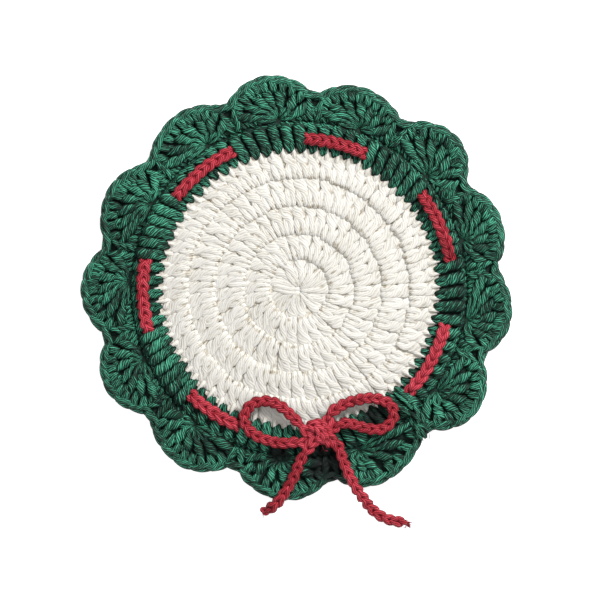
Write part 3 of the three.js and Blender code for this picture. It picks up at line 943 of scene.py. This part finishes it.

# %% [markdown]
# ## The join
# Each round of the border ends where it began, at the lower right. The yarn is cut there and its end is
# woven in, which leaves a ragged diagonal ridge: long loops that point into the cream, short ones across
# each other, and a tuft of cut fibres in the notch. Each loop is one strand, thick in the middle and thin
# at its ends, which are listed below.

# %% The loops of the join
JOIN_LOOPS = [
    ((48.0, -48.9), (57.8, -56.4)), ((50.6, -50.2), (59.4, -59.0)), ((46.8, -51.0), (57.0, -60.2)),
    ((44.8, -52.6), (56.2, -63.2)), ((56.2, -55.8), (60.8, -65.4)), ((58.6, -57.8), (59.6, -68.8)),
    ((55.0, -60.6), (62.4, -66.4)), ((60.8, -60.6), (62.6, -69.6)), ((57.4, -65.0), (61.4, -75.4)),
    ((61.8, -64.8), (58.2, -70.4)), ((58.4, -67.6), (59.2, -74.8)), ((60.8, -66.2), (64.8, -71.0)),
    ((60.2, -67.6), (63.4, -74.4)), ((56.8, -68.2), (63.6, -69.0)),
]
t = np.linspace(0, 1, 9)
for ends in JOIN_LOOPS:
    foot, head = np.array(ends)
    aside = dice.normal(0, 0.5) * np.sin(t * math.pi)
    height = 4.7 + 1.7 * np.sin(t * math.pi * 0.85) + dice.normal(0, 0.25)
    size = dice.uniform(1.15, 1.4) * eased(t, [0, 0.35, 0.8, 1], [0.35, 1, 0.95, 0.55])
    edging_skein.lay(beside(foot, head, t, aside, height), size)
loose_fibres(edging_skein, (62.0, -72.0, 4.8), (1.6, 2.0, 0.8), 26)
print("join:", len(edging_skein.points) - edging_strands, "loops and fibres")
edging_piece = edging_skein.piece("green_edging", green, "shell_border")

# %% [markdown]
# ## The threaded lace
# The red chain goes all round, over some posts and under the next. Where it is under them it is flat and
# hidden. At each end of a stretch that shows, it dives within five degrees.

# %% The threaded lace
UNDER_RADIUS = 75.6
LACE_OVER, LACE_RISING, LACE_DIVING, LACE_UNDER = 5.9, 4.3, 2.7, 1.3
DIVE_DEGREES, RISE_DEGREES = 2.4, 0.4
# The angles where the lace leaves the knot and comes back to it after a full turn
FROM_KNOT, TO_KNOT = 281.6, 632.2
lace_skein = Skein()
for start, end, first, last in OVER_STITCHES:
    on_top = np.linspace(start + DIVE_DEGREES, end - DIVE_DEGREES, 6)
    at = np.array([
        start - DIVE_DEGREES, start - RISE_DEGREES, *on_top, end + RISE_DEGREES, end + DIVE_DEGREES,
    ])
    radii = np.interp(at, [start, end], [first, last])
    heights = [LACE_DIVING, LACE_RISING, *[LACE_OVER] * len(on_top), LACE_RISING, LACE_DIVING]
    line = curve_through(np.column_stack([polar(radii, at), heights]), 0.6)
    crochet_chain(lace_skein, line, 4.6, 2.05, 0.6, 1.5)
under_ends = [FROM_KNOT, *[v for start, end, _, _ in OVER_STITCHES for v in (start, end)], TO_KNOT]
for start, end in zip(under_ends[::2], under_ends[1::2]):
    points = [(*polar(UNDER_RADIUS, at), LACE_UNDER) for at in np.linspace(start + 2, end - 2, 6)]
    crochet_chain(lace_skein, curve_through(points, 0.6), 4.7, 1.9, 0.1, 1.0, wander=0.05)
lace_skein.piece("threaded_lace_chain", red, "threaded_lace")

# %% [markdown]
# ## The knot
# The knot of a bow: one turn of the lace goes over the middle, and the loops and ends come out under it.

# %% The knot
KNOT_STRETCHES = [
    [(-1.0, -76.6, 8.2), (5.0, -76.4, 8.0), (11.0, -74.6, 7.6), (16.0, -70.2, 8.0), (20.0, -67.2, 8.4)],
    [(0.6, -67.8, 8.8), (4.4, -71.4, 8.8), (9.0, -73.0, 8.2), (12.8, -70.0, 8.6), (15.4, -62.4, 8.8)],
    [(2.6, -82.0, 7.8), (5.4, -78.4, 8.8), (9.2, -74.6, 9.6), (13.8, -73.4, 9.4), (17.8, -76.2, 8.2)],
    [(4.6, -67.4, 7.4), (7.0, -67.6, 9.9), (9.8, -69.6, 10.4), (12.6, -73.0, 10.4), (14.4, -77.6, 8.4)],
    [(8.2, -65.6, 7.6), (10.6, -67.4, 9.6), (13.2, -70.0, 10.2), (15.6, -73.6, 9.8), (16.6, -77.6, 8.0)],
]
knot_skein = Skein()
for stretch in KNOT_STRETCHES:
    crochet_chain(knot_skein, curve_through(stretch, 0.5), CORD_LINK, 1.9, CHAIN_HALF_HEIGHT, CORD_YARN)
loose_fibres(knot_skein, (11.0, -72.0, 10.4), (3.4, 2.8, 0.8), 26)
loose_fibres(knot_skein, (14.0, -79.0, 7.6), (1.6, 1.2, 0.6), 8)
knot_skein.piece("bow_knot_chain", red, "bow_knot")

# %% [markdown]
# ## The ground of the fabric
# Between the stitches one never sees through: behind the front strands lie the back ones, in deep shade. A
# thin sheet inside the fabric stands for them.

# %% The ground, a thin scalloped sheet
# The sheet's colour is painted shade: it stands for back strands that lie in deep shade
GROUND_INSET = 3.6
GROUND_THICK = 0.8
# The radius and height of its top: level inside, and a little lower under the shells
GROUND_RADII, GROUND_HEIGHTS = [0, 69, 73, 79, 85, 200], [3.1, 3.1, 3.1, 3.1, 2.6, 2.6]
GROUND_RINGS = 24
POINTS_PER_SHELL = 26


def ground_sheet():
    """The sheet and the area that it was cut to, in square metres."""
    edge = []
    for k in range(len(SHELLS)):
        edge += [edge_point(k, share, GROUND_INSET) for share in np.linspace(-0.9, 0.9, POINTS_PER_SHELL)]
    edge = np.array(edge)
    n = len(edge)
    rows = [edge * share for share in np.linspace(0, 1, GROUND_RINGS + 1)[1:]]
    points = np.vstack([[(0, 0)], *rows])
    height = eased(np.linalg.norm(points, axis=1), GROUND_RADII, GROUND_HEIGHTS)
    points = np.column_stack([points, height])
    faces = [(0, 1 + i, 1 + (i + 1) % n) for i in range(n)]
    for r in range(GROUND_RINGS - 1):
        a, b = 1 + r * n, 1 + (r + 1) * n
        faces += [(a + i, b + i, b + (i + 1) % n, a + (i + 1) % n) for i in range(n)]
    mesh = bpy.data.meshes.new("trivet_ground")
    mesh.from_pydata((points / 1000).tolist(), [], faces)
    made = in_scene("trivet_ground", mesh)
    bpy.context.view_layer.objects.active = made
    solid = made.modifiers.new("thickness", "SOLIDIFY")
    solid.thickness, solid.offset = GROUND_THICK / 1000, -1.0
    with bpy.context.temp_override(object=made, active_object=made, selected_objects=[made]):
        bpy.ops.object.modifier_apply(modifier="thickness")
    after = np.roll(edge, -1, axis=0)
    area = 0.5 * abs(np.sum(edge[:, 0] * after[:, 1] - after[:, 0] * edge[:, 1])) / 1e6
    return made, float(area)


ground, ground_area = ground_sheet()
print("ground area, m2:", round(ground_area, 4))

# %% The back strands, in painted shade
# Cotton seen only in the gaps and from below: matt, mottled in specks 1.4 mm across, and coloured in
# painted shade, deep behind the cream and nearly black behind the green
SPECKS_PER_METRE = 700.0
# In metres, the radius at which cream yarn gives way to green
CREAM_EDGE = 0.0703
painted_shade_back_strands, node = new_material("back_strands_in_painted_shade")
spot = node("TexCoord", output="Object")
radius = node("VectorMath", [spot], "LENGTH", output="Value")
speck = node("TexNoise", {"Vector": spot, "Scale": SPECKS_PER_METRE, "Detail": 3.0})
past_cream = node("Math", [radius, CREAM_EDGE], "GREATER_THAN")
cream_painted_shade = node("ValToRGB", [speck], stops=[(0.3, "#b3aa99"), (0.7, "#efebe1")])
green_painted_shade = node("ValToRGB", [speck], stops=[(0.3, "#04130d"), (0.7, "#0c2d22")])
# Of a mix node, 0 is the factor, 6 and 7 are the two colours, and output 2 is the mixed one
mixed = node("Mix", {0: past_cream, 6: cream_painted_shade, 7: green_painted_shade}, output=2, data_type="RGBA")
matt = node("BsdfPrincipled", {"Base Color": mixed, "Roughness": 0.95})
node("OutputMaterial", {"Surface": matt})
ground.data.materials.append(painted_shade_back_strands)
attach(ground, "root")
print("green begins at", round(CREAM_EDGE * 1000, 1), "mm from the middle")
